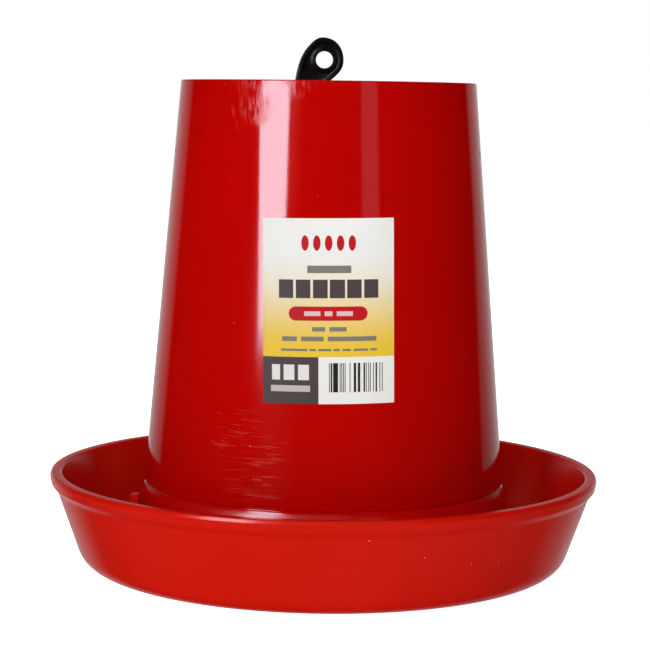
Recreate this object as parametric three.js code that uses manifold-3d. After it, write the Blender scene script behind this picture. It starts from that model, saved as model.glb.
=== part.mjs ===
// Gravity poultry feeder: a round feed pan, a tapered open hopper that stands on three posts in the
// pan, and a notched hanger bar that runs down the middle to the pan. Millimetres, +Z up. The origin
// is the centre of the pan's underside, on the plane that the feeder stands on.

import * as THREE from "three";
import { mergeVertices } from "three/addons/utils/BufferGeometryUtils.js";
import Module from "manifold-3d";

// ---------------------------------------------------------------- driving dimensions

const ROUND_SEGMENTS = 72;
const ARC_STEPS = 6;

// feed pan
const PAN_LIP_RADIUS = 150;
const PAN_HEIGHT = 52;
const PAN_WALL = 2.5;
const PAN_SLOPE = 0.354;
const PAN_WALL_RADIUS_AT_BASE = 131.3;
const PAN_CORNER_RADIUS = 14.7;
const PAN_FOOT_RING_WIDTH = 9;
const PAN_FOOT_RING_HEIGHT = 1.8;
const LIP_WIDTH = 5;
const LIP_FACE_BOTTOM = 46.5;
const LIP_UNDERSIDE_BOTTOM = 42.5;

// spreader cone in the middle of the pan, with the slot for the bar's foot in its top
const CONE_TOP_RADIUS = 19;
const CONE_FOOT_RADIUS = 62;
const CONE_TOP = 34;
const CONE_PLATE = 3;
const CONE_SLOT_LENGTH = 12;

// posts that carry and centre the hopper
const POST_ANGLES = [60, 180, 300];
const POST_INNER_RADIUS = 88;
const POST_OUTER_RADIUS = 106.8;
const POST_WIDTH = 8;
const POST_TOP = 36.5;
const POST_FOOT = 3;
const POST_CLEARANCE = 0.5;

// hopper
const HOPPER_TOP = 264.2;
const HOPPER_TOP_RADIUS = 79.9;
const HOPPER_WALL = 2.2;
const LEDGE_HEIGHT = 46.9;
const LEDGE_RADIUS = 98.4;
const SKIRT_RADIUS = 101.3;
const SKIRT_TOP = 37.6;
const SKIRT_BOTTOM = 22;
const SKIRT_CREASE_RADIUS = 99.7;
const SKIRT_CREASE_HEIGHT = 43.6;
const GROOVE_DEPTH = 0.6;

// bridge across the hopper
const BRIDGE_BOTTOM = 222;
const BRIDGE_PLATE = 4;
const BRIDGE_WIDTH = 26;
const BRIDGE_RIB_DEPTH = 10;
const BRIDGE_RIB_THICKNESS = 3;
const BRIDGE_HALF_LENGTH = 78.5;
const BRIDGE_WEBS = [-46, 40];
const BRIDGE_WEB_THICKNESS = 3;
const BRIDGE_END_CLEARANCE = 0.5;
const SLOT_LEFT = -20.2;
const SLOT_RIGHT = 0.2;

// pockets for the bridge's ends
const POCKET_WALL = 2.5;
const POCKET_INNER = 70;
const POCKET_FLOOR = 3;
const POCKET_LIP = 2;
const POCKET_CORE_BOTTOM = 180;
const POCKET_CORE_TOP = 250;

// hanger bar
const BAR_THICKNESS = 5;
const BAR_LEFT = -18.9;
const BAR_RIGHT = -4;
const TOOTH_TIP = -0.6;
const TOOTH_FACE = 2.2;
const NOTCH_COUNT = 4;
const NOTCH_PITCH = 10;
const NOTCH_HEIGHT = 5;
const NOTCH_CLEARANCE = 0.4;
const EYE = { x: -2.6, z: 276, holeRadius: 4.6 };
const EYE_TOP = 288;
// curves round the neck and the eye: two handles and an end for each, as x and z
const HEAD_CURVES = [
  [BAR_RIGHT, 261.5, -1.1, 263, 1.6, 265.5],
  [4.5, 268.2, 7.8, 270.5, 7.8, 275.6],
  [7.8, 283, 3.2, EYE_TOP, -3.6, EYE_TOP],
  [-7.1, EYE_TOP, -9.8, 285, -12.4, 281.8],
  [-16.8, 276.2, BAR_LEFT, 265, BAR_LEFT, 256],
];
const SHOULDER_HALF_WIDTH = 12;
const SHOULDER_BOTTOM = 34.8;
const SHOULDER_EDGE = 5;
const FOOT_BLEND_TOP_RIGHT = 74;
const FOOT_BLEND_TOP_LEFT = 84;
const TANG_HALF_WIDTH = 5;
const TANG_BOTTOM = 21;
const TANG_CHAMFER = 1.5;

// foot pin
const PIN_RADIUS = 2.5;
const PIN_BORE_RADIUS = 2.8;
const PIN_LENGTH = 27;
const PIN_HEIGHT = 28.2;

// label
const LABEL_WIDTH = 68;
const LABEL_HEIGHT = 94;
const LABEL_THICKNESS = 0.4;
const LABEL_MIDDLE = 148;
const LABEL_TURN = 1;
const LABEL_ROLL = 0.8;

// the gap between pieces that touch, the bar's play in its slots, and how far a cutter runs past
const GAP = 0.3;
const SLOT_PLAY = 0.6;
const CUT_MARGIN = 5;

// ---------------------------------------------------------------- materials

const redPlastic = new THREE.MeshStandardMaterial({ color: 0xb90a04, roughness: 0.25, metalness: 0 });
const redPanPlastic = new THREE.MeshStandardMaterial({ color: 0xc81510, roughness: 0.3, metalness: 0 });
const blackPlastic = new THREE.MeshStandardMaterial({ color: 0x111112, roughness: 0.4, metalness: 0 });
const labelFilm = new THREE.MeshStandardMaterial({ color: 0xf0e6b0, roughness: 0.5, metalness: 0 });

// ---------------------------------------------------------------- solids and booleans

const wasm = await Module();
wasm.setup();

// A closed three.js geometry as a manifold solid. Only the corner positions are kept.
function toSolid(geometry) {
  const bare = geometry.clone();
  bare.deleteAttribute("normal");
  bare.deleteAttribute("uv");
  const merged = mergeVertices(bare, 1e-4);
  const mesh = new wasm.Mesh({
    numProp: 3,
    vertProperties: new Float32Array(merged.attributes.position.array),
    triVerts: new Uint32Array(merged.index.array),
  });
  return new wasm.Manifold(mesh);
}

function toGeometry(solid) {
  const mesh = solid.getMesh();
  const geometry = new THREE.BufferGeometry();
  geometry.setAttribute("position", new THREE.BufferAttribute(mesh.vertProperties, 3));
  geometry.setIndex(new THREE.BufferAttribute(mesh.triVerts, 1));
  geometry.computeVertexNormals();
  return geometry;
}

// A ring or disc turned about Z from a closed outline of [radius, height] points, which run so that
// the material is on their left.
function turned(outline) {
  const points = outline.map(([radius, height]) => new THREE.Vector2(radius, height));
  const closed = outline[0][0] > 0 || outline.at(-1)[0] > 0;
  if (closed) points.push(points[0].clone());
  const geometry = new THREE.LatheGeometry(points, ROUND_SEGMENTS);
  geometry.rotateX(Math.PI / 2);
  return geometry;
}

// A box given by its lowest and highest corners.
function block(low, high) {
  const size = high.map((value, axis) => value - low[axis]);
  const middle = high.map((value, axis) => (value + low[axis]) / 2);
  return new THREE.BoxGeometry(...size).translate(...middle);
}

// An outline in the XZ plane, made thick along Y and centred on it.
function plateXZ(shape, thickness) {
  const geometry = new THREE.ExtrudeGeometry(shape, {
    depth: thickness,
    bevelEnabled: false,
    curveSegments: 10,
  });
  geometry.rotateX(Math.PI / 2);
  geometry.translate(0, thickness / 2, 0);
  return geometry;
}

// Points on an arc from one angle to another, in degrees.
function arc(centreR, centreZ, radius, from, to, steps = ARC_STEPS) {
  const points = [];
  for (let i = 0; i <= steps; i += 1) {
    const angle = THREE.MathUtils.degToRad(from + ((to - from) * i) / steps);
    points.push([centreR + radius * Math.cos(angle), centreZ + radius * Math.sin(angle)]);
  }
  return points;
}

// ---------------------------------------------------------------- feed pan

function panWallRadius(z) {
  return PAN_WALL_RADIUS_AT_BASE + PAN_SLOPE * z;
}

function panOutline() {
  const lean = Math.atan(PAN_SLOPE);
  const leanDegrees = THREE.MathUtils.radToDeg(lean);
  const cornerR = panWallRadius(PAN_CORNER_RADIUS) - PAN_CORNER_RADIUS / Math.cos(lean);
  const ringOuter = cornerR;
  const ringInner = ringOuter - PAN_FOOT_RING_WIDTH;
  const innerCorner = PAN_CORNER_RADIUS - PAN_WALL;
  const inset = PAN_WALL / Math.cos(lean);
  const floorUnder = PAN_FOOT_RING_HEIGHT;
  const floorTop = PAN_CORNER_RADIUS - innerCorner + floorUnder;
  const under = CONE_TOP - CONE_PLATE;
  const lipInner = PAN_LIP_RADIUS - LIP_WIDTH;
  return [
    // underside, from the middle out
    [0, under],
    [CONE_TOP_RADIUS - 3, under],
    [CONE_TOP_RADIUS - 1.2, under - 0.8],
    [CONE_FOOT_RADIUS - 6, floorUnder + 1.6],
    [CONE_FOOT_RADIUS - 1, floorUnder],
    [ringInner - 1.8, floorUnder],
    [ringInner, 0],
    // bottom corner and wall, outside
    ...arc(cornerR, PAN_CORNER_RADIUS, PAN_CORNER_RADIUS, -90, -leanDegrees),
    [panWallRadius(LIP_UNDERSIDE_BOTTOM), LIP_UNDERSIDE_BOTTOM],
    // lip
    [PAN_LIP_RADIUS - 1.8, LIP_FACE_BOTTOM - 1.4],
    [PAN_LIP_RADIUS - 0.5, LIP_FACE_BOTTOM],
    [PAN_LIP_RADIUS, PAN_HEIGHT - 2.4],
    [PAN_LIP_RADIUS - 0.4, PAN_HEIGHT - 1],
    [PAN_LIP_RADIUS - 1.4, PAN_HEIGHT - 0.1],
    [PAN_LIP_RADIUS - 2.4, PAN_HEIGHT],
    [lipInner + 0.4, PAN_HEIGHT],
    [lipInner - 0.6, PAN_HEIGHT - 0.8],
    // wall and bottom corner, inside
    [panWallRadius(LIP_UNDERSIDE_BOTTOM) - inset, LIP_UNDERSIDE_BOTTOM],
    ...arc(cornerR, floorTop + innerCorner, innerCorner, -leanDegrees, -90),
    // floor and spreader cone, top
    [CONE_FOOT_RADIUS + 4, floorTop],
    [CONE_FOOT_RADIUS - 4, floorTop + 2],
    [CONE_TOP_RADIUS + 1.8, CONE_TOP - 1.2],
    [CONE_TOP_RADIUS - 0.8, CONE_TOP],
    [0, CONE_TOP],
  ];
}

// An L-shaped post: the low inner step carries the hopper, the outer part centres it.
function postOutline() {
  const stepHeight = SKIRT_BOTTOM - GAP;
  const inner = SKIRT_RADIUS + POST_CLEARANCE;
  const shape = new THREE.Shape();
  shape.moveTo(POST_INNER_RADIUS, POST_FOOT);
  shape.lineTo(POST_OUTER_RADIUS + 1, POST_FOOT);
  shape.lineTo(POST_OUTER_RADIUS, POST_TOP - 1.2);
  shape.lineTo(POST_OUTER_RADIUS - 1.2, POST_TOP);
  shape.lineTo(inner + 0.8, POST_TOP);
  shape.lineTo(inner, POST_TOP - 0.8);
  shape.lineTo(inner, stepHeight);
  shape.lineTo(POST_INNER_RADIUS + 3, stepHeight);
  shape.closePath();
  return shape;
}

function panGeometry() {
  let solid = toSolid(turned(panOutline()));
  for (const angle of POST_ANGLES) {
    const post = plateXZ(postOutline(), POST_WIDTH);
    post.rotateZ(THREE.MathUtils.degToRad(angle));
    solid = solid.add(toSolid(post));
  }
  const slotHalfWidth = BAR_THICKNESS / 2 + SLOT_PLAY;
  const slotHalfLength = CONE_SLOT_LENGTH / 2;
  const slotBottom = CONE_TOP - CONE_PLATE - CUT_MARGIN;
  const slot = block(
    [-slotHalfLength, -slotHalfWidth, slotBottom],
    [slotHalfLength, slotHalfWidth, CONE_TOP + CUT_MARGIN],
  );
  return toGeometry(solid.subtract(toSolid(slot)));
}

// ---------------------------------------------------------------- hopper

function hopperRadius(z) {
  const share = (z - LEDGE_HEIGHT) / (HOPPER_TOP - LEDGE_HEIGHT);
  return LEDGE_RADIUS + share * (HOPPER_TOP_RADIUS - LEDGE_RADIUS);
}

function hopperOutline() {
  const rim = 0.7;
  return [
    [SKIRT_RADIUS - HOPPER_WALL, SKIRT_BOTTOM],
    [SKIRT_RADIUS - 0.4, SKIRT_BOTTOM],
    [SKIRT_RADIUS, SKIRT_BOTTOM + 0.6],
    [SKIRT_RADIUS, SKIRT_TOP],
    [SKIRT_CREASE_RADIUS + 0.4, SKIRT_CREASE_HEIGHT - 1.6],
    [SKIRT_CREASE_RADIUS, SKIRT_CREASE_HEIGHT],
    [LEDGE_RADIUS + 0.5, SKIRT_CREASE_HEIGHT + 0.6],
    [LEDGE_RADIUS - GROOVE_DEPTH, LEDGE_HEIGHT - 1.1],
    [LEDGE_RADIUS, LEDGE_HEIGHT - 0.4],
    [hopperRadius(LEDGE_HEIGHT + 1), LEDGE_HEIGHT + 1],
    [hopperRadius(HOPPER_TOP - rim), HOPPER_TOP - rim],
    [HOPPER_TOP_RADIUS - rim, HOPPER_TOP],
    [HOPPER_TOP_RADIUS - HOPPER_WALL + rim, HOPPER_TOP],
    [HOPPER_TOP_RADIUS - HOPPER_WALL, HOPPER_TOP - rim],
    [hopperRadius(LEDGE_HEIGHT) - HOPPER_WALL, LEDGE_HEIGHT],
    [SKIRT_RADIUS - HOPPER_WALL, SKIRT_TOP - 1],
  ];
}

// The two U-shaped pockets on the wall's inner face, open upward, that take the bridge's ends.
function pocketSolid(side) {
  const inside = BRIDGE_WIDTH / 2 + GAP;
  const outside = inside + POCKET_WALL;
  const cavityBottom = BRIDGE_BOTTOM - BRIDGE_RIB_DEPTH - GAP;
  const bottom = cavityBottom - POCKET_FLOOR;
  const top = BRIDGE_BOTTOM + BRIDGE_PLATE + POCKET_LIP;
  const limit = hopperRadius(bottom);
  const outer = block([POCKET_INNER, -outside, bottom], [limit, outside, top]);
  const cavity = block(
    [POCKET_INNER - CUT_MARGIN, -inside, cavityBottom],
    [limit + CUT_MARGIN, inside, top + CUT_MARGIN],
  );
  const frame = toSolid(outer).subtract(toSolid(cavity));
  return side > 0 ? frame : frame.rotate([0, 0, 180]);
}

function hopperGeometry() {
  // the pockets are cut to the wall, so that they don't show outside it
  const wallMiddle = (z) => hopperRadius(z) - HOPPER_WALL / 2;
  const core = turned([
    [0, POCKET_CORE_BOTTOM],
    [wallMiddle(POCKET_CORE_BOTTOM), POCKET_CORE_BOTTOM],
    [wallMiddle(POCKET_CORE_TOP), POCKET_CORE_TOP],
    [0, POCKET_CORE_TOP],
  ]);
  const pockets = pocketSolid(1).add(pocketSolid(-1)).intersect(toSolid(core));
  return toGeometry(toSolid(turned(hopperOutline())).add(pockets));
}

// ---------------------------------------------------------------- bridge

// A flat plate with a rib down each long edge, and the bar's slot through the middle.
function bridgeGeometry() {
  const half = BRIDGE_WIDTH / 2;
  const end = BRIDGE_HALF_LENGTH;
  const top = BRIDGE_BOTTOM + BRIDGE_PLATE;
  const ribBottom = BRIDGE_BOTTOM - BRIDGE_RIB_DEPTH;
  const slotHalfWidth = BAR_THICKNESS / 2 + SLOT_PLAY;
  let solid = toSolid(block([-end, -half, BRIDGE_BOTTOM], [end, half, top]));
  for (const y of [-half, half - BRIDGE_RIB_THICKNESS]) {
    const rib = block([-end, y, ribBottom], [end, y + BRIDGE_RIB_THICKNESS, BRIDGE_BOTTOM + 1]);
    solid = solid.add(toSolid(rib));
  }
  for (const x of BRIDGE_WEBS) {
    const web = block(
      [x, -half + 1, ribBottom + 2],
      [x + BRIDGE_WEB_THICKNESS, half - 1, BRIDGE_BOTTOM + 1],
    );
    solid = solid.add(toSolid(web));
  }
  const cutBottom = ribBottom - CUT_MARGIN;
  const cutTop = top + CUT_MARGIN;
  const slot = block([SLOT_LEFT, -slotHalfWidth, cutBottom], [SLOT_RIGHT, slotHalfWidth, cutTop]);
  // the ends follow the hopper's round wall
  const endRadius = hopperRadius(top) - HOPPER_WALL - BRIDGE_END_CLEARANCE;
  const core = turned([
    [0, cutBottom],
    [endRadius, cutBottom],
    [endRadius, cutTop],
    [0, cutTop],
  ]);
  return toGeometry(solid.subtract(toSolid(slot)).intersect(toSolid(core)));
}

// ---------------------------------------------------------------- hanger bar

function barOutline() {
  const shelf = BRIDGE_BOTTOM - NOTCH_CLEARANCE;
  const shape = new THREE.Shape();
  // tang and left shoulder
  shape.moveTo(TANG_HALF_WIDTH, TANG_BOTTOM + TANG_CHAMFER);
  shape.lineTo(TANG_HALF_WIDTH, SHOULDER_BOTTOM);
  shape.lineTo(SHOULDER_HALF_WIDTH, SHOULDER_BOTTOM);
  shape.lineTo(SHOULDER_HALF_WIDTH, SHOULDER_BOTTOM + SHOULDER_EDGE);
  // right edge: up from the shoulder, across to the stem, and up to the first notch
  shape.bezierCurveTo(SHOULDER_HALF_WIDTH, 54, BAR_RIGHT, 50, BAR_RIGHT, FOOT_BLEND_TOP_RIGHT);
  for (let notch = 0; notch < NOTCH_COUNT; notch += 1) {
    const z = shelf + notch * NOTCH_PITCH;
    shape.lineTo(BAR_RIGHT, z - NOTCH_HEIGHT + 0.3);
    shape.lineTo(TOOTH_TIP, z - TOOTH_FACE);
    shape.lineTo(TOOTH_TIP, z);
    shape.lineTo(BAR_RIGHT, z);
  }
  // neck and eye
  const lastNotchTop = shelf + (NOTCH_COUNT - 1) * NOTCH_PITCH + NOTCH_HEIGHT;
  shape.lineTo(BAR_RIGHT, lastNotchTop);
  for (const curve of HEAD_CURVES) shape.bezierCurveTo(...curve);
  // left edge, down to the left shoulder
  const edgeTop = SHOULDER_BOTTOM + SHOULDER_EDGE;
  shape.lineTo(BAR_LEFT, FOOT_BLEND_TOP_LEFT);
  shape.bezierCurveTo(BAR_LEFT, 60, -SHOULDER_HALF_WIDTH, 64, -SHOULDER_HALF_WIDTH, edgeTop);
  shape.lineTo(-SHOULDER_HALF_WIDTH, SHOULDER_BOTTOM);
  shape.lineTo(-TANG_HALF_WIDTH, SHOULDER_BOTTOM);
  shape.lineTo(-TANG_HALF_WIDTH, TANG_BOTTOM + TANG_CHAMFER);
  shape.lineTo(-TANG_HALF_WIDTH + TANG_CHAMFER, TANG_BOTTOM);
  shape.lineTo(TANG_HALF_WIDTH - TANG_CHAMFER, TANG_BOTTOM);
  shape.closePath();
  for (const hole of [
    [EYE.x, EYE.z, EYE.holeRadius],
    [0, PIN_HEIGHT, PIN_BORE_RADIUS],
  ]) {
    const path = new THREE.Path();
    path.absarc(...hole, 0, Math.PI * 2, true);
    shape.holes.push(path);
  }
  return shape;
}

function barGeometry() {
  return plateXZ(barOutline(), BAR_THICKNESS);
}

function pinGeometry() {
  const geometry = new THREE.CylinderGeometry(PIN_RADIUS, PIN_RADIUS, PIN_LENGTH, 20);
  geometry.translate(0, 0, -PIN_HEIGHT);
  geometry.rotateX(Math.PI);
  return geometry;
}

// ---------------------------------------------------------------- label

// A flat rectangle wrapped on the hopper's front. Its width is kept along the arc.
function labelGeometry() {
  const lean = Math.atan2(LEDGE_RADIUS - HOPPER_TOP_RADIUS, HOPPER_TOP - LEDGE_HEIGHT);
  const geometry = new THREE.BoxGeometry(LABEL_WIDTH, LABEL_THICKNESS, LABEL_HEIGHT, 18, 1, 4);
  geometry.rotateY(THREE.MathUtils.degToRad(-LABEL_ROLL));
  const position = geometry.attributes.position;
  for (let i = 0; i < position.count; i += 1) {
    const z = LABEL_MIDDLE + position.getZ(i) * Math.cos(lean);
    const wall = hopperRadius(z) + GAP;
    const radius = wall + LABEL_THICKNESS / 2 - position.getY(i);
    const angle = position.getX(i) / wall + THREE.MathUtils.degToRad(LABEL_TURN);
    position.setXYZ(i, radius * Math.sin(angle), -radius * Math.cos(angle), z);
  }
  geometry.computeVertexNormals();
  return geometry;
}

// ---------------------------------------------------------------- assembly

function part(name, geometry, material) {
  const mesh = new THREE.Mesh(geometry, material);
  mesh.name = name;
  return mesh;
}

const feeder = new THREE.Group();
feeder.add(part("pan", panGeometry(), redPanPlastic));

const hopperGroup = new THREE.Group();
hopperGroup.add(part("hopper", hopperGeometry(), redPlastic));
hopperGroup.add(part("bridge", bridgeGeometry(), blackPlastic));
hopperGroup.add(part("label", labelGeometry(), labelFilm));
feeder.add(hopperGroup);

const hangerGroup = new THREE.Group();
hangerGroup.add(part("hanger_bar", barGeometry(), blackPlastic));
hangerGroup.add(part("foot_pin", pinGeometry(), blackPlastic));
feeder.add(hangerGroup);

export default feeder;
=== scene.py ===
"""Gravity poultry feeder: the looks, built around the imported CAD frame. Metres, +Z up."""

import math

import bmesh
import bpy
from mathutils import Matrix, Vector


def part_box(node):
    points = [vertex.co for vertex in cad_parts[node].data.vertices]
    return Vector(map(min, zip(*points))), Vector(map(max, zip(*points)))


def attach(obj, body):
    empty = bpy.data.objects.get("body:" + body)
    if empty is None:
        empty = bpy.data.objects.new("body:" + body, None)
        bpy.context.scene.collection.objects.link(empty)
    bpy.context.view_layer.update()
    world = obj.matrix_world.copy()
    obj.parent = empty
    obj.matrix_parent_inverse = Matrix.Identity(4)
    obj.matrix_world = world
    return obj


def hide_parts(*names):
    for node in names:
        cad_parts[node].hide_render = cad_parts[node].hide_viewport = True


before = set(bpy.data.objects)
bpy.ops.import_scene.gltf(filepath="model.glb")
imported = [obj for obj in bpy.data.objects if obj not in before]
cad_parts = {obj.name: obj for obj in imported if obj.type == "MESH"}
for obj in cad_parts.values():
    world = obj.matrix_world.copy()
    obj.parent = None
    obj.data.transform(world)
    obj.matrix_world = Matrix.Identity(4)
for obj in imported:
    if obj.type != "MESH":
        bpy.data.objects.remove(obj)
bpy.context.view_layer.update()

MM = 0.001

# ---------------------------------------------------------------- places, from the frame

PAN_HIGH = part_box("pan")[1]
HOPPER_LOW, HOPPER_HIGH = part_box("hopper")
BRIDGE_LOW, BRIDGE_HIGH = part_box("bridge")
BAR_LOW, BAR_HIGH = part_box("hanger_bar")
PIN_LOW, PIN_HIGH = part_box("foot_pin")

# ---------------------------------------------------------------- sizes, in millimetres

# pan: the wall leans out by its slope, from a rounded corner up to the lip
PAN_RADIUS = PAN_HIGH[0] / MM
PAN_HEIGHT = PAN_HIGH[2] / MM
PAN_SLOPE = 0.354
PAN_WALL = 2.5
PAN_CORNER = 14.7
PAN_BASE_RADIUS = PAN_RADIUS - 18.7
FOOT_RING_WIDTH = 9
FLOOR_UNDER = 1.8
FLOOR_TOP = FLOOR_UNDER + PAN_WALL
LIP_WIDTH = 5
LIP_START = 42.8
LIP_FACE = 46
CONE_FOOT = 62
CONE_HEAD = 19
CONE_TOP = 34
CONE_PLATE = 3

# the slot for the bar's foot, in the top of the pan's cone: its cutter's half length and heights
PAN_SLOT_HALF = 6
PAN_SLOT_HEIGHTS = (20, 40)

# posts on the pan's floor
POST_ANGLES = (60, 180, 300)
POST_WIDTH = 8
POST_BOTTOM = 3.2
POST_TOP = 36.5
POST_INNER = 88
POST_OUTER = 106.8
SEAT_GAP = 0.3
CENTRING_GAP = 0.5

# hopper: a tapered wall above the ledge, a crease below it, and the skirt
HOPPER_TOP = HOPPER_HIGH[2] / MM
SKIRT_RADIUS = HOPPER_HIGH[0] / MM
SKIRT_BOTTOM = HOPPER_LOW[2] / MM
HOPPER_TOP_RADIUS = 79.9
HOPPER_WALL = 2.2
LEDGE_RADIUS = 98.4
LEDGE_HEIGHT = 46.9
SKIRT_TOP = 37.6
CREASE_RADIUS = 99.7
CREASE_HEIGHT = 43.6

# pockets that hold the bridge's ends
POCKET_GAP = 0.3
POCKET_WALL = 2.5
POCKET_FLOOR = 3
POCKET_RISE = 2
POCKET_INNER = 70

# bridge: the webs' and the slot's places are along X
BRIDGE_PLATE = 4
BRIDGE_PLATE_BOTTOM = BRIDGE_HIGH[2] / MM - BRIDGE_PLATE
BRIDGE_RIB = 3
BRIDGE_WEBS = (-46, 40)
BRIDGE_SLOT = (-20.2, 0.2)

# hanger bar: its play is the gap to each side of a slot, and a tooth's face and root are measured
# down from its flat top
BAR_THICK = (BAR_HIGH[1] - BAR_LOW[1]) / MM
BAR_LEFT = BAR_LOW[0] / MM
BAR_RIGHT = -4
BAR_PLAY = 0.6
NOTCHES = 4
NOTCH_PITCH = 10
NOTCH_CLEARANCE = 0.4
TOOTH_TIP = -0.6
TOOTH_ROOT = 4.7
TOOTH_FACE = 2.2
TOP_NOTCH = BRIDGE_PLATE_BOTTOM - NOTCH_CLEARANCE + (NOTCHES - 1) * NOTCH_PITCH
HEAD_START = TOP_NOTCH + 5
HEAD_TOP = BAR_HIGH[2] / MM
TANG_BOTTOM = BAR_LOW[2] / MM
TANG_HALF = 5
TANG_CHAMFER = 1.5
SHOULDER = 34.8
SHOULDER_HALF = 12
SHOULDER_RISE = 5
STEM_FOOT_RIGHT = 74
STEM_FOOT_LEFT = 84
EYE_X = -2.6
EYE_Z = HEAD_TOP - 12
EYE_HOLE = 4.6

# the head's contour after the top notch, as cubic curves: first handle, second handle, end
HEAD_CURVES = (
    ((BAR_RIGHT, 261.5), (-1.1, 263), (1.6, 265.5)),
    ((4.5, 268.2), (7.8, 270.5), (7.8, 275.6)),
    ((7.8, 283), (3.2, HEAD_TOP), (-3.6, HEAD_TOP)),
    ((-7.1, HEAD_TOP), (-9.8, 285), (-12.4, 281.8)),
    ((-16.8, 276.2), (BAR_LEFT, 265), (BAR_LEFT, 256)),
)

# the recess in the bar's faces: how deep, the bead along the left, the edge at the right, the
# ring round the eye, and the ribs across it
RECESS = 1.2
BEAD = 2.7
RIGHT_BEAD = 1.9
RING = 2.2
BAR_RIBS = range(104, 250, 24)
BAR_RIB = 1.6

# foot pin
PIN_Z = (PIN_LOW[2] + PIN_HIGH[2]) / 2 / MM
PIN_HOLE = 2.8
PIN_GROOVE = (3.4, 5.6)
PIN_GROOVE_DEPTH = 0.5

# label
LABEL_WIDTH = 68
LABEL_HEIGHT = 94
LABEL_MIDDLE = 148
LABEL_TURN = 1
LABEL_ROLL = 0.8
LABEL_LIFT = 0.04
LABEL_THICKNESS = 0.16
LABEL_GRID = (80, 24)

# the label's print, measured from its middle: seeds, and a pill with a row of plain bars in it
SEEDS = (-12, -6, 0, 6, 12)
SEED_HEIGHT = 34.5
SEED_HALF = (1.9, 3.9)
PILL_MIDDLE = (-0.3, -1.2)
PILL_HALF = 3.6
PILL_STRAIGHT = 16.5
PILL_ROW = (-1.2, 1.2, -12.5, 12, (4, 2, 4))

# rows of plain bars: height, half-height, start, end, word lengths, and the ink
LABEL_ROWS = (
    (21.2, 1.9, -11, 11.4, (7,), "grey"),
    (11.3, 4.7, -25.6, 25.4, (6, 6, 6, 6, 6, 6), "dark"),
    (-9.1, 1.1, -8.6, 8.8, (3, 4), "grey"),
    (-14, 1.2, -24, 24.4, (4, 6, 13), "grey"),
    (-19.6, 0.6, -24.5, 24.5, (12, 3, 6, 3, 4, 7, 3), "grey"),
)

# the blocks below them: dark at the left with two pale rows, white at the right with thin bars
BLOCKS_TOP = -23.2
BLOCKS_EDGE = -5.3
BIG_ROW = (-31, 3.9, -29.3, -10.1, (2.2, 3, 3))
SMALL_ROW = (-39.2, 1.6, -29.8, -9.6, (1,))
THIN_BARS_MIDDLE = -33.6
THIN_BARS_HALF = 7.4
THIN_BARS = (0, 28.2)
BAR_MODULE = 0.42

# ---------------------------------------------------------------- looks

# how strongly light bends in the plastics and in the label's film
PLASTIC_IOR = 1.49
FILM_IOR = 1.45

# each red plastic's lighter and darker colour as linear values, then the scratches and the dust
PAN_RED = ((0.66, 0.0075, 0.0005, 1), (0.61, 0.0065, 0.0004, 1))
HOPPER_RED = ((0.56, 0.0016, 0.0003, 1), (0.52, 0.0014, 0.0003, 1))
SCRATCH_COLOUR = "DC4030"
DUST_COLOUR = "EBA79E"

# rubbed patches on the hopper's front: middle (x, z) and half size in millimetres, how the noise
# behind their fine scratches is stretched, and how it is turned in degrees, which makes the patches
# differ. Smeared patches, where the gloss is dulled, have a middle and a half size.
RUBBED = (
    ((-39, 73), (26, 29), (16, 16, 260), 3),
    ((-39, 69), (23, 26), (20, 20, 330), -6),
    ((-44, 256), (9, 22), (260, 260, 24), 2),
)
SMEARED = (((-40, 268), (15, 12)), ((-37, 250), (13, 11)), ((-15, 267), (12, 14)))

# ---------------------------------------------------------------- camera and light

# distances are in metres, angles in degrees, and the lens and the sensor in millimetres
CAMERA_DISTANCE = 1.14
CAMERA_HEIGHT = 0.2529
CAMERA_PITCH = 6.08
CAMERA_ROLL = 0.79
CAMERA_SHIFT = -0.0008
LENS = 115.6
SENSOR = 36

# what the lights are aimed at
LIGHT_AIM = Vector((0, 0, 0.14))

# azimuth (0 is the front and 90 the right), elevation, distance, size and power in watts
SOFT_LIGHTS = {
    "key": (0, 33, 3, 1.5, 25),
    "low_left": (-27, 15, 2.5, 0.58, 16.8),
    "near_left": (-26, -10, 0.42, 0.14, 0.09),
    "fill_left": (-118, 0, 1.3, 0.4, 1.6),
    "fill_right": (122, 0, 1.3, 0.4, 1.2),
    "top": (0, 85, 3.2, 2.4, 24),
    "back": (180, 35, 1.8, 1.4, 7),
}

# corners as (azimuth, elevation), and strength
STRIP_LIGHTS = {
    "strip_left": (((-28.5, 2), (-44, 2), (-50.5, 12), (-50.5, 40), (-28.5, 40)), 14),
    "strip_right": (((24, 7.5), (36, 7.5), (36, 30), (24, 30)), 0.5),
}
STRIP_DISTANCE = 1.3
STRIP_TINT = (0.85, 1.0, 1.14, 1)

# the mirrored backdrop, along a direction's Y: where it starts at the left, and at the right from
# low to high, how soft its edge is, and how bright it is from its edge to its middle
BACKDROP_LEFT = 0.64
BACKDROP_RIGHT = (0.52, 0.68)
BACKDROP_RIGHT_RISE = (-0.12, 0.02)
BACKDROP_SOFT = (-0.035, 0.045)
BACKDROP_SPAN = (0.65, 1.0)
BACKDROP_GLOW = (0.17, 0.62)

# along a direction's Z: where the backdrop fades to the ceiling, and where the ground starts
CEILING_RISE = (0.09, 0.16)
CEILING_SHARE = 0.3
GROUND_FALL = (-0.35, -0.2)
GROUND_GLOW = 0.01

AMBIENT = 0.02
FLOOR_RADIUS = 12
FLOOR_GLOW = 1.0
FLOOR_SHARE = 0.3


def hopper_radius(z):
    """Outer radius of the hopper's tapered wall at height z, in millimetres."""
    share = (z - LEDGE_HEIGHT) / (HOPPER_TOP - LEDGE_HEIGHT)
    return LEDGE_RADIUS + share * (HOPPER_TOP_RADIUS - LEDGE_RADIUS)


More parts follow.
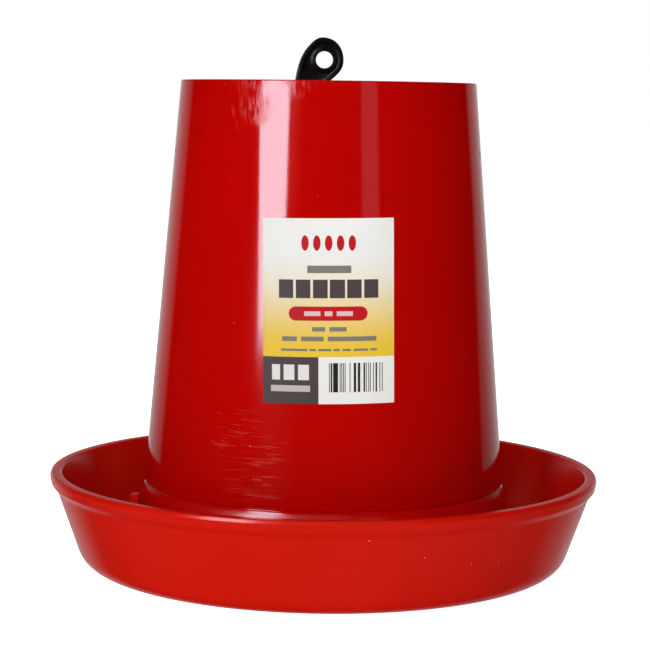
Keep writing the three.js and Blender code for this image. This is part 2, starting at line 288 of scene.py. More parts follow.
def pan_radius(z):
    """Outer radius of the pan's sloping wall at height z, in millimetres."""
    return PAN_BASE_RADIUS + PAN_SLOPE * z


# ---------------------------------------------------------------- mesh tools


def new_object(name, data):
    """A new object at the origin, linked to the scene."""
    made = bpy.data.objects.new(name, data)
    bpy.context.scene.collection.objects.link(made)
    return made


def mesh_object(name, mesh, solid=True):
    """A new object from a bmesh, with its faces turned outward first if they enclose a solid."""
    if solid:
        bmesh.ops.recalc_face_normals(mesh, faces=mesh.faces)
    data = bpy.data.meshes.new(name)
    mesh.to_mesh(data)
    mesh.free()
    return new_object(name, data)


def rounded(corners, steps=6):
    """An outline with its corners rounded. Each corner is (x, y) or (x, y, radius)."""
    points = []
    count = len(corners)
    for i, corner in enumerate(corners):
        here = Vector(corner[:2])
        radius = corner[2] if len(corner) > 2 else 0
        if radius <= 0:
            points.append(here)
            continue
        before = (Vector(corners[i - 1][:2]) - here).normalized()
        after = (Vector(corners[(i + 1) % count][:2]) - here).normalized()
        half = before.angle(after) / 2
        reach = radius / math.tan(half)
        start = here + before * reach
        end = here + after * reach
        centre = here + (before + after).normalized() * (radius / math.sin(half))
        first = start - centre
        last = end - centre
        sweep = math.pi - 2 * half
        if first.x * last.y - first.y * last.x < 0:
            sweep = -sweep
        for step in range(steps + 1):
            points.append(centre + Matrix.Rotation(sweep * step / steps, 2) @ first)
    return points


def divided(points, longest):
    """The same closed outline with long edges divided."""
    result = []
    for here, after in zip(points, points[1:] + points[:1]):
        parts = max(1, math.ceil((after - here).length / longest))
        result.extend(here.lerp(after, part / parts) for part in range(parts))
    return result


def lathe(name, outline, steps=240):
    """A solid turned about Z from a closed outline of (radius, height), in millimetres."""
    mesh = bmesh.new()
    around = [2 * math.pi * step / steps for step in range(steps)]
    rings = []
    for point in outline:
        radius = max(point.x, 0) * MM
        z = point.y * MM
        if radius < 1e-7:
            rings.append([mesh.verts.new((0, 0, z))])
            continue
        ring = [mesh.verts.new((radius * math.cos(a), radius * math.sin(a), z)) for a in around]
        rings.append(ring)
    for low, high in zip(rings, rings[1:] + rings[:1]):
        if len(low) == 1 and len(high) == 1:
            continue
        for step in range(steps):
            after = (step + 1) % steps
            corners = [low[step % len(low)], low[after % len(low)]]
            corners += [high[after % len(high)], high[step % len(high)]]
            mesh.faces.new(list(dict.fromkeys(corners)))
    return mesh_object(name, mesh)


def prism(name, outline, low, high):
    """A closed prism between two distances along Y, from an outline of (x, z) in millimetres."""
    mesh = bmesh.new()
    near, far = [[mesh.verts.new((p.x * MM, y * MM, p.y * MM)) for p in outline] for y in (low, high)]
    mesh.faces.new(near)
    mesh.faces.new(far[::-1])
    count = len(outline)
    for i in range(count):
        after = (i + 1) % count
        mesh.faces.new((near[i], far[i], far[after], near[after]))
    return mesh_object(name, mesh)


def disc(name, x, z, radius, low, high, steps=72):
    """A plain round prism along Y, used to cut with."""
    around = [2 * math.pi * step / steps for step in range(steps)]
    outline = [Vector((x + radius * math.cos(a), z + radius * math.sin(a))) for a in around]
    return prism(name, outline, low, high)


def block(name, low, high):
    """A box between two corners, in millimetres."""
    corners = ((low[0], low[2]), (high[0], low[2]), (high[0], high[2]), (low[0], high[2]))
    return prism(name, [Vector(corner) for corner in corners], low[1], high[1])


def apply_modifiers(piece):
    """Replaces the piece's mesh with its modified one."""
    graph = bpy.context.evaluated_depsgraph_get()
    mesh = bpy.data.meshes.new_from_object(piece.evaluated_get(graph))
    piece.modifiers.clear()
    old = piece.data
    piece.data = mesh
    bpy.data.meshes.remove(old)


def bevelled(piece, width, segments=3, angle=35):
    """Rounds the piece's sharp edges. The width is in millimetres."""
    bevel = piece.modifiers.new("bevel", "BEVEL")
    bevel.width = width * MM
    bevel.segments = segments
    bevel.limit_method = "ANGLE"
    bevel.angle_limit = math.radians(angle)
    bevel.harden_normals = False
    apply_modifiers(piece)


def combine(piece, other, operation):
    """Joins the other piece to this one, or cuts it out, and removes it."""
    boolean = piece.modifiers.new("boolean", "BOOLEAN")
    boolean.operation = operation
    boolean.solver = "EXACT"
    boolean.object = other
    apply_modifiers(piece)
    mesh = other.data
    bpy.data.objects.remove(other)
    bpy.data.meshes.remove(mesh)


def turn(piece, degrees, axis="Z"):
    """Turns the piece's mesh about an axis through the origin."""
    piece.data.transform(Matrix.Rotation(math.radians(degrees), 4, axis))


def smooth(piece, angle=32):
    """Smooth shading with creases where faces meet sharply."""
    for face in piece.data.polygons:
        face.use_smooth = True
    piece.data.set_sharp_from_angle(angle=math.radians(angle))


def finish_piece(piece, body, slot, material, *nodes):
    """Gives a piece its material, its body and the CAD nodes that it stands for. The slot is not used."""
    piece.data.materials.clear()
    piece.data.materials.append(material)
    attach(piece, body)
    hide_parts(*nodes)


# ---------------------------------------------------------------- node tools


class Nodes:
    """A node tree, with short calls for the nodes used here. An input takes a number or a link."""

    def __init__(self, tree):
        self.tree = tree

    def put(self, socket, value):
        """Sets an input, or links it to another node's output."""
        if isinstance(value, bpy.types.NodeSocket):
            self.tree.links.new(value, socket)
        else:
            socket.default_value = value

    def add(self, kind, inputs=None, **settings):
        """A new node with its settings and its inputs."""
        made = self.tree.nodes.new("ShaderNode" + kind)
        for key, value in settings.items():
            setattr(made, key, value)
        for key, value in (inputs or {}).items():
            self.put(made.inputs[key], value)
        return made

    def math(self, operation, *values):
        """Arithmetic on one or two values."""
        made = self.add("Math", dict(enumerate(values)), operation=operation)
        return made.outputs[0]

    def parts(self, vector):
        """A vector's three coordinates."""
        return self.add("SeparateXYZ", {0: vector}).outputs

    def ramp(self, value, low, high, out_low=0.0, out_high=1.0, kind="SMOOTHSTEP"):
        """The value mapped from one range to another, and kept inside it."""
        inputs = {"Value": value, "From Min": low, "From Max": high, "To Min": out_low, "To Max": out_high}
        return self.add("MapRange", inputs, interpolation_type=kind).outputs[0]


class Shader(Nodes):
    """A material with a principled surface, on the object's own coordinates."""

    def __init__(self, name):
        self.material = bpy.data.materials.new(name)
        self.material.use_nodes = True
        super().__init__(self.material.node_tree)
        self.surface = self.tree.nodes["Principled BSDF"]
        self.place = self.add("TexCoord").outputs["Object"]

    def set(self, **values):
        """Sets the surface's inputs, with underscores where their names have spaces."""
        for key, value in values.items():
            self.put(self.surface.inputs[key.replace("_", " ")], value)

    def scaled(self, scale, degrees=0.0):
        """The object's coordinates, stretched along each axis and then turned about Y."""
        inputs = {"Vector": self.place, "Scale": scale, "Rotation": (0, math.radians(degrees), 0)}
        return self.add("Mapping", inputs).outputs[0]

    def noise(self, scale, detail=4, place=None, roughness=0.5):
        """Soft random values from 0 to 1."""
        inputs = {"Vector": place or self.place, "Scale": scale, "Detail": detail, "Roughness": roughness}
        return self.add("TexNoise", inputs).outputs[0]

    def mix(self, share, first, second):
        """A blend of two colours."""
        made = self.add("Mix", data_type="RGBA")
        self.put(made.inputs[0], share)
        self.put(made.inputs[6], first)
        self.put(made.inputs[7], second)
        return made.outputs[2]

    def bump(self, height, distance, strength, normal=None):
        """A normal tilted by a height, on top of another normal where one is given."""
        made = self.add("Bump", {"Height": height, "Distance": distance, "Strength": strength})
        if normal is not None:
            self.put(made.inputs["Normal"], normal)
        return made.outputs[0]


def srgb(code):
    """A linear colour from a six-digit sRGB code."""
    parts = [int(code[i : i + 2], 16) / 255 for i in (0, 2, 4)]
    linear = [p / 12.92 if p <= 0.04045 else ((p + 0.055) / 1.055) ** 2.4 for p in parts]
    return (*linear, 1)


# ---------------------------------------------------------------- plastics


def patch(shader, middle, half_size):
    """One in the middle of a patch on the front, fading to nothing at its edge. In millimetres."""
    x, y, z = shader.parts(shader.place)
    away = 0.0
    for along, centre, half in zip((x, z), middle, half_size):
        offset = shader.math("DIVIDE", shader.math("SUBTRACT", along, centre * MM), half * MM)
        away = shader.math("ADD", shader.math("MULTIPLY", offset, offset), away)
    front = shader.math("LESS_THAN", y, 0.0)
    return shader.math("MULTIPLY", shader.ramp(away, 0.2, 1.0, 1, 0), front)


def scratches(shader, middle, half_size, stretch, degrees):
    """Fine scratches in a patch: thin contour lines of a stretched noise, with breaks in them."""
    field = shader.noise(1, 2, shader.scaled(stretch, degrees))
    away = shader.math("ABSOLUTE", shader.math("SUBTRACT", field, 0.5))
    lines = shader.ramp(away, 0.005, 0.026, 1, 0)
    finer = tuple(4 * value for value in stretch)
    breaks = shader.ramp(shader.noise(1, 2, shader.scaled(finer)), 0.42, 0.6)
    area = patch(shader, middle, half_size)
    return shader.math("MULTIPLY", lines, shader.math("MULTIPLY", breaks, area))


def smears(shader, places):
    """Patches with streaks in them, where the gloss is dulled."""
    area = 0.0
    for middle, half_size in places:
        area = shader.math("MAXIMUM", area, patch(shader, middle, half_size))
    streaks = shader.noise(1, 4, shader.scaled((500, 500, 110)))
    return shader.math("MULTIPLY", area, shader.ramp(streaks, 0.42, 0.56))


def red_plastic(name, reds, gloss, foot_dullness, specular, specks, rubbed=(), smeared=()):
    """Moulded polypropylene: faint flow marks, fine scuffs, dust specks, and worn patches if any."""
    shader = Shader(name)
    clouds = shader.noise(9, 3)
    light, dark = reds
    colour = shader.mix(shader.ramp(clouds, 0.35, 0.7), dark, light)
    flow_marks = shader.noise(60, 3, shader.scaled((1, 1, 0.12)))
    uneven = shader.noise(14, 4)
    grain = shader.noise(900, 2)
    scuffs = shader.ramp(shader.noise(240, 5, shader.scaled((0.22, 0.22, 1)), 0.7), 0.62, 0.72)
    worn = shader.math("MULTIPLY", scuffs, shader.ramp(uneven, 0.55, 0.8, 0, 0.2))
    for place in rubbed:
        worn = shader.math("MAXIMUM", worn, scratches(shader, *place))
    dust = shader.ramp(shader.noise(560, 1), 0.8, 0.83, 0, specks)
    colour = shader.mix(shader.math("MULTIPLY", worn, 0.55), colour, srgb(SCRATCH_COLOUR))
    colour = shader.mix(dust, colour, srgb(DUST_COLOUR))

    # duller where it is worn or smeared, and below the hopper's ledge
    roughness = shader.ramp(uneven, 0.3, 0.75, *gloss)
    roughness = shader.math("ADD", roughness, shader.math("MULTIPLY", worn, 0.01))
    roughness = shader.math("ADD", roughness, shader.math("MULTIPLY", smears(shader, smeared), 0.2))
    height = shader.parts(shader.place)["Z"]
    foot = shader.ramp(height, (LEDGE_HEIGHT - 3) * MM, (LEDGE_HEIGHT - 1) * MM, foot_dullness, 0)
    roughness = shader.math("ADD", roughness, foot)

    normal = shader.bump(flow_marks, 0.0002, 0.25)
    normal = shader.bump(grain, 0.00002, 0.25, normal)
    normal = shader.bump(worn, 0.00002, 0.3, normal)
    shader.set(Base_Color=colour, Roughness=roughness, Normal=normal, IOR=PLASTIC_IOR)
    shader.set(Specular_IOR_Level=specular)
    shader.set(Subsurface_Weight=0.06, Subsurface_Scale=0.004, Subsurface_Radius=(1.0, 0.15, 0.1))
    return shader.material


def black_plastic():
    """Satin moulded polypropylene, a little greyed by handling."""
    shader = Shader("black_polypropylene")
    clouds = shader.noise(60, 4)
    colour = shader.mix(shader.ramp(clouds, 0.4, 0.75), srgb("0E0E0F"), srgb("1A1A1C"))
    grain = shader.noise(1400, 2)
    roughness = shader.ramp(shader.noise(90, 4), 0.3, 0.7, 0.2, 0.32)
    normal = shader.bump(grain, 0.00003, 0.35)
    shader.set(Base_Color=colour, Roughness=roughness, Normal=normal, IOR=PLASTIC_IOR)
    shader.set(Specular_IOR_Level=0.4)
    return shader.material


# ---------------------------------------------------------------- the label's print


def word_edges(start, end, words):
    """Where plain bars that stand for words begin and end, between two places on a line."""
    total = sum(words) + len(words) - 1
    unit = (end - start) / total
    edges = []
    here = start
    for length in words:
        edges.append((here, here + length * unit))
        here += (length + 1) * unit
    return edges


def bars_mask(shader, u, v, middle, half_height, edges):
    """One where a point lies in a row of bars. The edges are millimetres from the label's middle."""
    black, white = (0, 0, 0, 1), (1, 1, 1, 1)
    ramp = shader.add("ValToRGB")
    ramp.color_ramp.interpolation = "CONSTANT"
    first, last = ramp.color_ramp.elements
    first.color = black
    last.position = 1.0
    last.color = black
    for start, end in edges:
        for place, colour in ((start, white), (end, black)):
            stop = ramp.color_ramp.elements.new(place / LABEL_WIDTH + 0.5)
            stop.color = colour
    shader.put(ramp.inputs[0], shader.math("ADD", shader.math("DIVIDE", u, LABEL_WIDTH), 0.5))
    away = shader.math("ABSOLUTE", shader.math("SUBTRACT", v, middle))
    inside = shader.math("LESS_THAN", away, half_height)
    return shader.math("MULTIPLY", ramp.outputs[0], inside)


def row_mask(shader, u, v, row):
    """One in a row of plain bars: its height, half-height, start, end and word lengths."""
    middle, half_height, start, end, words = row
    return bars_mask(shader, u, v, middle, half_height, word_edges(start, end, words))


def oval_mask(shader, u, v, centre, half_size, straight=0.0):
    """One inside an ellipse, or inside a bar with round ends where straight is above zero."""
    x = shader.math("ABSOLUTE", shader.math("SUBTRACT", u, centre[0]))
    x = shader.math("MAXIMUM", shader.math("SUBTRACT", x, straight), 0.0)
    x = shader.math("POWER", shader.math("DIVIDE", x, half_size[0]), 2.0)
    y = shader.math("DIVIDE", shader.math("SUBTRACT", v, centre[1]), half_size[1])
    y = shader.math("POWER", y, 2.0)
    return shader.math("LESS_THAN", shader.math("ADD", x, y), 1.0)


def thin_bars_mask(shader, u, v):
    """One in a row of thin bars that are one or more modules wide, in no particular order."""
    step = shader.math("FLOOR", shader.math("DIVIDE", u, BAR_MODULE))
    shuffled = shader.add("TexWhiteNoise", {"W": step}, noise_dimensions="1D").outputs[0]
    ink = shader.math("GREATER_THAN", shuffled, 0.48)
    inside = bars_mask(shader, u, v, THIN_BARS_MIDDLE, THIN_BARS_HALF, [THIN_BARS])
    return shader.math("MULTIPLY", ink, inside)


def label_film():
    """Printed film: white to yellow, a dark block, and plain shapes where words would be."""
    shader = Shader("label_film")
    parts = shader.parts(shader.add("TexCoord").outputs["UV"])
    u = shader.math("MULTIPLY", shader.math("SUBTRACT", parts["X"], 0.5), LABEL_WIDTH)
    v = shader.math("MULTIPLY", shader.math("SUBTRACT", parts["Y"], 0.5), LABEL_HEIGHT)
    white, yellow, red = srgb("FBFBF8"), srgb("F8D042"), srgb("C81D24")
    inks = {"dark": srgb("54484A"), "grey": srgb("8A837B")}

    colour = shader.mix(shader.ramp(v, 32, -20, 0, 1), white, yellow)
    for centre in SEEDS:
        seed = oval_mask(shader, u, v, (centre, SEED_HEIGHT), SEED_HALF)
        colour = shader.mix(seed, colour, red)
    for *row, ink in LABEL_ROWS:
        colour = shader.mix(row_mask(shader, u, v, row), colour, inks[ink])
    pill = oval_mask(shader, u, v, PILL_MIDDLE, (PILL_HALF, PILL_HALF), PILL_STRAIGHT)
    colour = shader.mix(pill, colour, red)
    colour = shader.mix(row_mask(shader, u, v, PILL_ROW), colour, srgb("F2C9C6"))

    below = shader.math("LESS_THAN", v, BLOCKS_TOP)
    left = shader.math("LESS_THAN", u, BLOCKS_EDGE)
    colour = shader.mix(below, colour, shader.mix(left, white, inks["dark"]))
    colour = shader.mix(row_mask(shader, u, v, BIG_ROW), colour, srgb("F3F1EF"))
    colour = shader.mix(row_mask(shader, u, v, SMALL_ROW), colour, srgb("CFC8C6"))
    colour = shader.mix(thin_bars_mask(shader, u, v), colour, srgb("2A2624"))

    # painted shade: a little darker towards the left, which evens out how the light falls off across the
    # label
    colour = shader.mix(shader.ramp(u, -34, 22, 0.13, 0), colour, (0, 0, 0, 1))
    mottle = shader.noise(900, 2)
    roughness = shader.ramp(mottle, 0.3, 0.7, 0.45, 0.6)
    shader.set(Base_Color=colour, Roughness=roughness, IOR=FILM_IOR, Specular_IOR_Level=0.12)
    shader.set(Normal=shader.bump(mottle, 0.00002, 0.3))
    return shader.material


# ---------------------------------------------------------------- pan


def make_pan(material):
    """A shallow trough round a low cone, with three posts, and a slot in the cone for the bar."""
    lean = math.atan(PAN_SLOPE)
    inset = PAN_WALL / math.cos(lean)
    ring_inner = pan_radius(PAN_CORNER) - PAN_CORNER / math.cos(lean) - FOOT_RING_WIDTH
    lip_inner = PAN_RADIUS - LIP_WIDTH
    outline = rounded(
        [
            (0, CONE_TOP - CONE_PLATE),
            (CONE_HEAD - 2, CONE_TOP - CONE_PLATE, 2),
            (CONE_FOOT - 3, FLOOR_UNDER, 9),
            (ring_inner - 1.8, FLOOR_UNDER, 0.6),
            (ring_inner - 0.2, 0, 0.6),
            (pan_radius(0), 0, PAN_CORNER * 0.97),
            (pan_radius(LIP_START), LIP_START, 2.5),
            (PAN_RADIUS - 0.7, LIP_FACE, 0.9),
            (PAN_RADIUS, PAN_HEIGHT - 2, 1.2),
            (PAN_RADIUS - 0.9, PAN_HEIGHT, 1.2),
            (lip_inner - 1.2, PAN_HEIGHT, 1.6),
            (pan_radius(FLOOR_UNDER) - inset + 1.2, FLOOR_TOP, PAN_CORNER - 2),
            (CONE_FOOT + 1, FLOOR_TOP, 12),
            (CONE_HEAD + 0.6, CONE_TOP, 2),
            (0, CONE_TOP),
        ],
        8,
    )
    pan = lathe("pan_moulding", divided(outline, 6))
    for angle in POST_ANGLES:
        post = make_post()
        turn(post, angle)
        combine(pan, post, "UNION")
    half = BAR_THICK / 2 + BAR_PLAY
    low, high = PAN_SLOT_HEIGHTS
    slot = block("slot", (-PAN_SLOT_HALF, -half, low), (PAN_SLOT_HALF, half, high))
    combine(pan, slot, "DIFFERENCE")
    smooth(pan)
    finish_piece(pan, "pan_body", "red_polypropylene_pan", material, "pan")


def make_post():
    """An L-shaped post on the pan's floor: the step carries the hopper and the upstand centres it."""
    step = SKIRT_BOTTOM - SEAT_GAP
    inner = SKIRT_RADIUS + CENTRING_GAP
    outline = rounded(
        [
            (POST_INNER, POST_BOTTOM),
            (POST_OUTER + 1, POST_BOTTOM),
            (POST_OUTER, POST_TOP, 1.1),
            (inner, POST_TOP, 0.9),
            (inner, step, 0.4),
            (POST_INNER + 2, step, 1),
        ],
        4,
    )
    post = prism("post", outline, -POST_WIDTH / 2, POST_WIDTH / 2)
    bevelled(post, 0.7, 3, 50)
    return post


# ---------------------------------------------------------------- hopper


def make_hopper(material):
    """A tapered tube, open at both ends, with a skirt below and a pocket inside at each side."""
    outline = rounded(
        [
            (SKIRT_RADIUS - HOPPER_WALL, SKIRT_BOTTOM, 0.4),
            (SKIRT_RADIUS, SKIRT_BOTTOM, 0.6),
            (SKIRT_RADIUS, SKIRT_TOP, 3),
            (CREASE_RADIUS + 0.5, CREASE_HEIGHT - 1.4, 1.2),
            (CREASE_RADIUS, CREASE_HEIGHT + 0.1, 0.3),
            (LEDGE_RADIUS + 0.4, LEDGE_HEIGHT - 1.5, 0.5),
            (LEDGE_RADIUS - 0.6, LEDGE_HEIGHT - 0.8, 0.3),
            (LEDGE_RADIUS + 0.1, LEDGE_HEIGHT + 0.1, 0.4),
            (HOPPER_TOP_RADIUS, HOPPER_TOP, 0.8),
            (HOPPER_TOP_RADIUS - HOPPER_WALL, HOPPER_TOP, 0.7),
            (hopper_radius(LEDGE_HEIGHT) - HOPPER_WALL, LEDGE_HEIGHT, 3),
            (SKIRT_RADIUS - HOPPER_WALL, SKIRT_TOP - 2, 3),
        ],
        6,
    )
    hopper = lathe("hopper_moulding", divided(outline, 5))
    for side in (0, 180):
        pocket = make_pocket()
        turn(pocket, side)
        combine(hopper, pocket, "UNION")
    smooth(hopper)
    finish_piece(hopper, "hopper_body", "red_polypropylene_hopper", material, "hopper")


def make_pocket():
    """A U-shaped pocket, open upward, that takes one end of the bridge."""
    half = BRIDGE_HIGH[1] / MM + POCKET_GAP
    outer = half + POCKET_WALL
    floor = BRIDGE_LOW[2] / MM - POCKET_GAP
    top = BRIDGE_HIGH[2] / MM + POCKET_RISE
    reach = hopper_radius(top) - HOPPER_WALL / 2
    pocket = block("pocket", (POCKET_INNER, -outer, floor - POCKET_FLOOR), (reach, outer, top))
    # the hollow reaches past the pocket's open sides
    hollow = block("hollow", (POCKET_INNER - 10, -half, floor), (reach + 9, half, top + 9))
    combine(pocket, hollow, "DIFFERENCE")
    bevelled(pocket, 0.5)
    return pocket


# ---------------------------------------------------------------- bridge


def make_bridge(material):
    """A plate with two long ribs and two webs below it, and a slot for the bar."""
    low = [value / MM for value in BRIDGE_LOW]
    high = [value / MM for value in BRIDGE_HIGH]
    under = BRIDGE_PLATE_BOTTOM + 1
    bridge = block("bridge_moulding", (low[0], low[1], BRIDGE_PLATE_BOTTOM), high)
    for y in (low[1], high[1] - BRIDGE_RIB):
        rib = block("rib", (low[0], y, low[2]), (high[0], y + BRIDGE_RIB, under))
        combine(bridge, rib, "UNION")
    for x in BRIDGE_WEBS:
        web = block("web", (x, low[1] + 1, low[2] + 2), (x + BRIDGE_RIB, high[1] - 1, under))
        combine(bridge, web, "UNION")
    half = BAR_THICK / 2 + BAR_PLAY
    left, right = BRIDGE_SLOT
    slot = block("slot", (left, -half, low[2] - 5), (right, half, high[2] + 5))
    combine(bridge, slot, "DIFFERENCE")
    bevelled(bridge, 0.5)
    smooth(bridge)
    finish_piece(bridge, "hopper_body", "black_polypropylene", material, "bridge")


# ---------------------------------------------------------------- hanger bar


def bezier(start, first, second, end, steps=12):
    """Points on a cubic curve after its start, up to its end."""
    points = []
    for step in range(1, steps + 1):
        t = step / steps
        s = 1 - t
        weights = (s**3, 3 * t * s**2, 3 * t * t * s, t**3)
        weighted = [Vector(p) * weight for p, weight in zip((start, first, second, end), weights)]
        points.append(sum(weighted, Vector((0, 0))))
    return points


def head_points():
    """The bar's contour from the top notch, round the eye, and down to its left edge."""
    points = []
    start = (BAR_RIGHT, HEAD_START)
    for first, second, end in HEAD_CURVES:
        points += bezier(start, first, second, end)
        start = end
    return points


def bar_contour():
    """The bar's outline: the foot's right side, the notches, the head, and the left side.

    Each side of the foot has a curve up to the stem, given by two handles and an end.
    """
    shoulder_top = SHOULDER + SHOULDER_RISE
    right_foot = ((SHOULDER_HALF, 54), (BAR_RIGHT, 50), (BAR_RIGHT, STEM_FOOT_RIGHT))
    left_foot = ((BAR_LEFT, 60), (-SHOULDER_HALF, 64), (-SHOULDER_HALF, shoulder_top))
    tang = [(TANG_HALF, TANG_BOTTOM + TANG_CHAMFER), (TANG_HALF, SHOULDER)]
    shoulder = [(SHOULDER_HALF, SHOULDER), (SHOULDER_HALF, shoulder_top)]
    points = tang + shoulder + bezier(shoulder[-1], *right_foot, 14)
    for notch in range(NOTCHES):
        z = BRIDGE_PLATE_BOTTOM - NOTCH_CLEARANCE + notch * NOTCH_PITCH
        points += [(BAR_RIGHT, z - TOOTH_ROOT), (TOOTH_TIP, z - TOOTH_FACE), (TOOTH_TIP, z), (BAR_RIGHT, z)]
    points.append((BAR_RIGHT, HEAD_START))
    points += head_points()
    points.append((BAR_LEFT, STEM_FOOT_LEFT))
    points += bezier((BAR_LEFT, STEM_FOOT_LEFT), *left_foot, 14)
    points += [(-SHOULDER_HALF, SHOULDER), (-TANG_HALF, SHOULDER), (-TANG_HALF, TANG_BOTTOM + TANG_CHAMFER)]
    points += [(TANG_CHAMFER - TANG_HALF, TANG_BOTTOM), (TANG_HALF - TANG_CHAMFER, TANG_BOTTOM)]
    return [Vector(point) for point in points]


def recess_contour():
    """The recess in the bar's faces: the head's contour moved inward, and most of the stem."""
    head = [Vector((BAR_RIGHT, HEAD_START - 6))] + head_points() + [Vector((BAR_LEFT, 240))]
    moved = []
    for before, here, after in zip(head, head[1:], head[2:]):
        along = (after - before).normalized()
        moved.append(here + Vector((-along.y, along.x)) * BEAD)
    # the neck is left out, where the moved line lies left of the recess's straight right edge
    moved = [point for point in moved if point.y > HEAD_START + 3.5 or point.x < -9]
    right = BAR_RIGHT - RIGHT_BEAD
    foot = [Vector((BAR_LEFT + BEAD, STEM_FOOT_LEFT)), Vector((right, STEM_FOOT_LEFT))]
    return [Vector((right, HEAD_START + 1))] + moved + foot


def make_bar(material):
    """The hanger bar: the eye and the pin's hole go through it, and both faces have a ribbed recess."""
    half = BAR_THICK / 2
    bar = prism("hanger_moulding", bar_contour(), -half, half)
    for x, z, radius in ((EYE_X, EYE_Z, EYE_HOLE), (0, PIN_Z, PIN_HOLE)):
        combine(bar, disc("hole", x, z, radius, -9, 9), "DIFFERENCE")
    for side in (-1, 1):
        low, high = sorted((side * (half - RECESS), side * (half + 4)))
        recess = prism("recess", recess_contour(), low, high)
        combine(recess, disc("ring", EYE_X, EYE_Z, EYE_HOLE + RING, low - 1, high + 1), "DIFFERENCE")
        for z in BAR_RIBS:
            combine(recess, block("rib", (-30, low - 1, z), (10, high + 1, z + BAR_RIB)), "DIFFERENCE")
        combine(bar, recess, "DIFFERENCE")
    bevelled(bar, 0.45, 3, 40)
    smooth(bar, 40)
    finish_piece(bar, "hanger_body", "black_polypropylene", material, "hanger_bar")


def make_pin(material):
    """The foot pin: rounded ends and a shallow groove near each of them."""
    half = (PIN_HIGH[1] - PIN_LOW[1]) / MM / 2
    radius = (PIN_HIGH[2] - PIN_LOW[2]) / MM / 2
    inner = radius - PIN_GROOVE_DEPTH
    start, end = PIN_GROOVE
    lower = [
        (0, -half),
        (radius, -half, 0.8),
        (radius, -half + start, 0.3),
        (inner, -half + start + PIN_GROOVE_DEPTH, 0.3),
        (inner, -half + end - PIN_GROOVE_DEPTH, 0.3),
        (radius, -half + end, 0.3),
    ]
    upper = [(r, -along, *corner) for r, along, *corner in reversed(lower)]
    pin = lathe("foot_pin_moulding", rounded(lower + upper, 4), 48)
    turn(pin, 90, "X")
    pin.data.transform(Matrix.Translation((0, 0, PIN_Z * MM)))
    smooth(pin)
    finish_piece(pin, "hanger_body", "black_polypropylene", material, "foot_pin")


# ---------------------------------------------------------------- label


def label_place(across, up, lift):
    """A point of the label, from shares of its width and height. The width is kept along the arc."""
    lean = math.atan2(LEDGE_RADIUS - HOPPER_TOP_RADIUS, HOPPER_TOP - LEDGE_HEIGHT)
    flat = Vector((LABEL_WIDTH * (across - 0.5), LABEL_HEIGHT * (up - 0.5)))
    flat.rotate(Matrix.Rotation(math.radians(LABEL_ROLL), 2))
    z = LABEL_MIDDLE + flat.y * math.cos(lean)
    wall = hopper_radius(z)
    angle = flat.x / wall + math.radians(LABEL_TURN)
    radius = (wall + lift) * MM
    return radius * math.sin(angle), -radius * math.cos(angle), z * MM


def make_label(material):
    """A thin rectangle wrapped on the hopper's front, as a closed sheet."""
    across, up = LABEL_GRID
    mesh = bmesh.new()
    uv = mesh.loops.layers.uv.new("label")
    layers = []
    share = {}
    for lift in (LABEL_LIFT, LABEL_LIFT + LABEL_THICKNESS):
        layer = {}
        for i in range(across + 1):
            for j in range(up + 1):
                vertex = mesh.verts.new(label_place(i / across, j / up, lift))
                layer[i, j] = vertex
                share[vertex] = (i / across, j / up)
        layers.append(layer)
    back, front = layers
    for i in range(across):
        for j in range(up):
            corners = ((i, j), (i + 1, j), (i + 1, j + 1), (i, j + 1))
            mesh.faces.new([front[corner] for corner in corners])
            mesh.faces.new([back[corner] for corner in reversed(corners)])
    for i in range(across):
        for j in (0, up):
            mesh.faces.new((front[i, j], back[i, j], back[i + 1, j], front[i + 1, j]))
    for j in range(up):
        for i in (0, across):
            mesh.faces.new((front[i, j], back[i, j], back[i, j + 1], front[i, j + 1]))
    for face in mesh.faces:
        for loop in face.loops:
            loop[uv].uv = share[loop.vert]
    label = mesh_object("label_film", mesh)
    smooth(label)
    finish_piece(label, "hopper_body", "label_film", material, "label")


# ---------------------------------------------------------------- camera, lights and floor


def make_camera():
    """A long lens in front of the feeder, a little above its middle and tipped down."""
    data = bpy.data.cameras.new("camera")
    data.sensor_width = SENSOR
    data.lens = LENS
    data.shift_x = CAMERA_SHIFT
    data.clip_start = 0.01
    data.clip_end = 50
    camera = new_object("camera", data)
    camera.location = (0, -CAMERA_DISTANCE, CAMERA_HEIGHT)
    pitch = Matrix.Rotation(math.radians(90 - CAMERA_PITCH), 4, "X")
    roll = Matrix.Rotation(math.radians(CAMERA_ROLL), 4, "Z")
    camera.rotation_euler = (pitch @ roll).to_euler()
    bpy.context.scene.camera = camera


def towards(azimuth, elevation):
    """A unit direction from the feeder. Azimuth 0 is the front, and 90 the right."""
    around, up = math.radians(azimuth), math.radians(elevation)
    level = math.cos(up)
    return Vector((math.sin(around) * level, -math.cos(around) * level, math.sin(up)))


def soft_light(name, azimuth, elevation, distance, size, power):
    """A large square light aimed at the feeder's middle. It shades, and isn't mirrored in the gloss."""
    data = bpy.data.lights.new(name, "AREA")
    data.shape = "SQUARE"
    data.size = size
    data.energy = power
    light = new_object(name, data)
    back = towards(azimuth, elevation)
    light.location = LIGHT_AIM + back * distance
    light.rotation_euler = (-back).to_track_quat("-Z", "Y").to_euler()
    light.visible_glossy = False


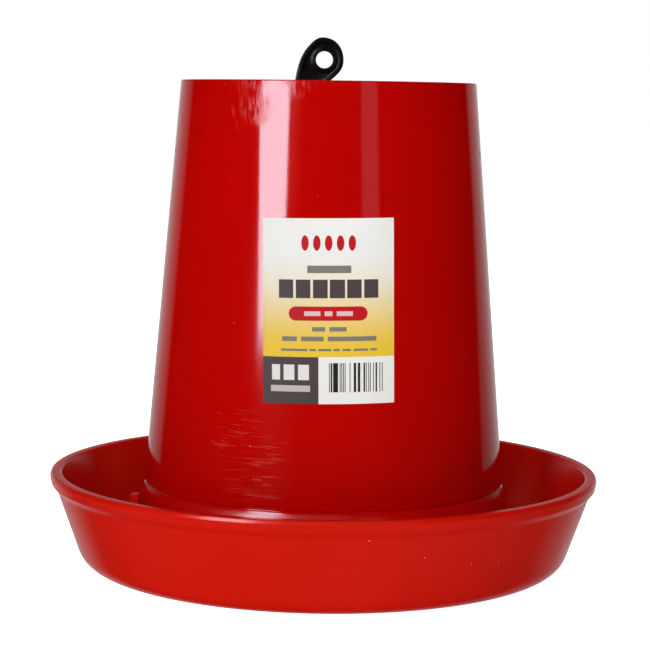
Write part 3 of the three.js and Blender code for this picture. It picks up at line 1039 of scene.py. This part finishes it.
def strip_light(name, corners, strength):
    """A flat glowing panel that only the gloss mirrors. Each corner is (azimuth, elevation)."""
    mesh = bpy.data.meshes.new(name)
    places = [LIGHT_AIM + towards(*corner) * STRIP_DISTANCE for corner in corners]
    mesh.from_pydata(places, [], [tuple(range(len(places)))])
    panel = new_object(name, mesh)
    material = bpy.data.materials.new(name)
    material.use_nodes = True
    nodes = Nodes(material.node_tree)
    nodes.tree.nodes.clear()
    glow = nodes.add("Emission", {"Color": STRIP_TINT, "Strength": strength})
    nodes.add("OutputMaterial", {0: glow.outputs[0]})
    mesh.materials.append(material)
    panel.visible_camera = False
    panel.visible_diffuse = False
    panel.visible_shadow = False
    panel.visible_transmission = False


def make_world():
    """White to the camera, faint to soft shading, and a white backdrop behind for the gloss to mirror."""
    world = bpy.data.worlds.new("studio")
    bpy.context.scene.world = world
    world.use_nodes = True
    nodes = Nodes(world.node_tree)
    x, y, z = nodes.parts(nodes.add("TexCoord").outputs["Generated"])
    right_side = nodes.math("GREATER_THAN", x, 0.0)
    right_start = nodes.ramp(z, *BACKDROP_RIGHT_RISE, *BACKDROP_RIGHT, "LINEAR")
    start = nodes.ramp(right_side, 0, 1, BACKDROP_LEFT, right_start, "LINEAR")
    edge = nodes.ramp(nodes.math("SUBTRACT", y, start), *BACKDROP_SOFT)
    glow = nodes.ramp(y, *BACKDROP_SPAN, *BACKDROP_GLOW, "LINEAR")
    ceiling = nodes.ramp(z, *CEILING_RISE, 1, CEILING_SHARE)
    backdrop = nodes.math("MULTIPLY", nodes.math("MULTIPLY", edge, glow), ceiling)
    ground = nodes.ramp(z, *GROUND_FALL, GROUND_GLOW, 0)
    mirrored = nodes.math("MAXIMUM", backdrop, ground)
    ray = nodes.add("LightPath").outputs
    shading = nodes.math("MULTIPLY", ray["Is Diffuse Ray"], AMBIENT)
    gloss = nodes.math("MULTIPLY", ray["Is Glossy Ray"], mirrored)
    total = nodes.math("ADD", nodes.math("ADD", ray["Is Camera Ray"], shading), gloss)
    background = nodes.tree.nodes["Background"]
    nodes.put(background.inputs["Strength"], total)
    nodes.put(background.inputs["Color"], (1, 1, 1, 1))


def make_floor():
    """A wide pale floor that glows white to the camera and less to everything else."""
    mesh = bmesh.new()
    bmesh.ops.create_circle(mesh, cap_ends=True, radius=FLOOR_RADIUS, segments=64)
    floor = mesh_object("floor", mesh, solid=False)
    shader = Shader("pale_floor")
    shader.set(Base_Color=srgb("F0F0EE"), Roughness=0.8, Specular_IOR_Level=0.0)
    shader.set(Emission_Color=(1, 1, 1, 1))
    seen = shader.add("LightPath").outputs["Is Camera Ray"]
    shader.set(Emission_Strength=shader.ramp(seen, 0, 1, FLOOR_GLOW * FLOOR_SHARE, FLOOR_GLOW))
    floor.data.materials.append(shader.material)
    floor.visible_glossy = False


def make_studio():
    """The world, the floor and all the lights."""
    make_world()
    make_floor()
    for name, values in SOFT_LIGHTS.items():
        soft_light(name, *values)
    for name, values in STRIP_LIGHTS.items():
        strip_light(name, *values)


# ---------------------------------------------------------------- build

make_camera()
make_studio()

red_pan = red_plastic(
    "red_pan_polypropylene",
    PAN_RED,
    gloss=(0.18, 0.24),
    foot_dullness=0.0,
    specular=0.3,
    specks=0.8,
)
red_hopper = red_plastic(
    "red_hopper_polypropylene",
    HOPPER_RED,
    gloss=(0.07, 0.1),
    foot_dullness=0.16,
    specular=0.5,
    specks=0.3,
    rubbed=RUBBED,
    smeared=SMEARED,
)
black = black_plastic()
film = label_film()

make_pan(red_pan)
make_hopper(red_hopper)
make_bridge(black)
make_bar(black)
make_pin(black)
make_label(film)

scene = bpy.context.scene
scene.view_settings.view_transform = "Standard"
scene.view_settings.look = "None"
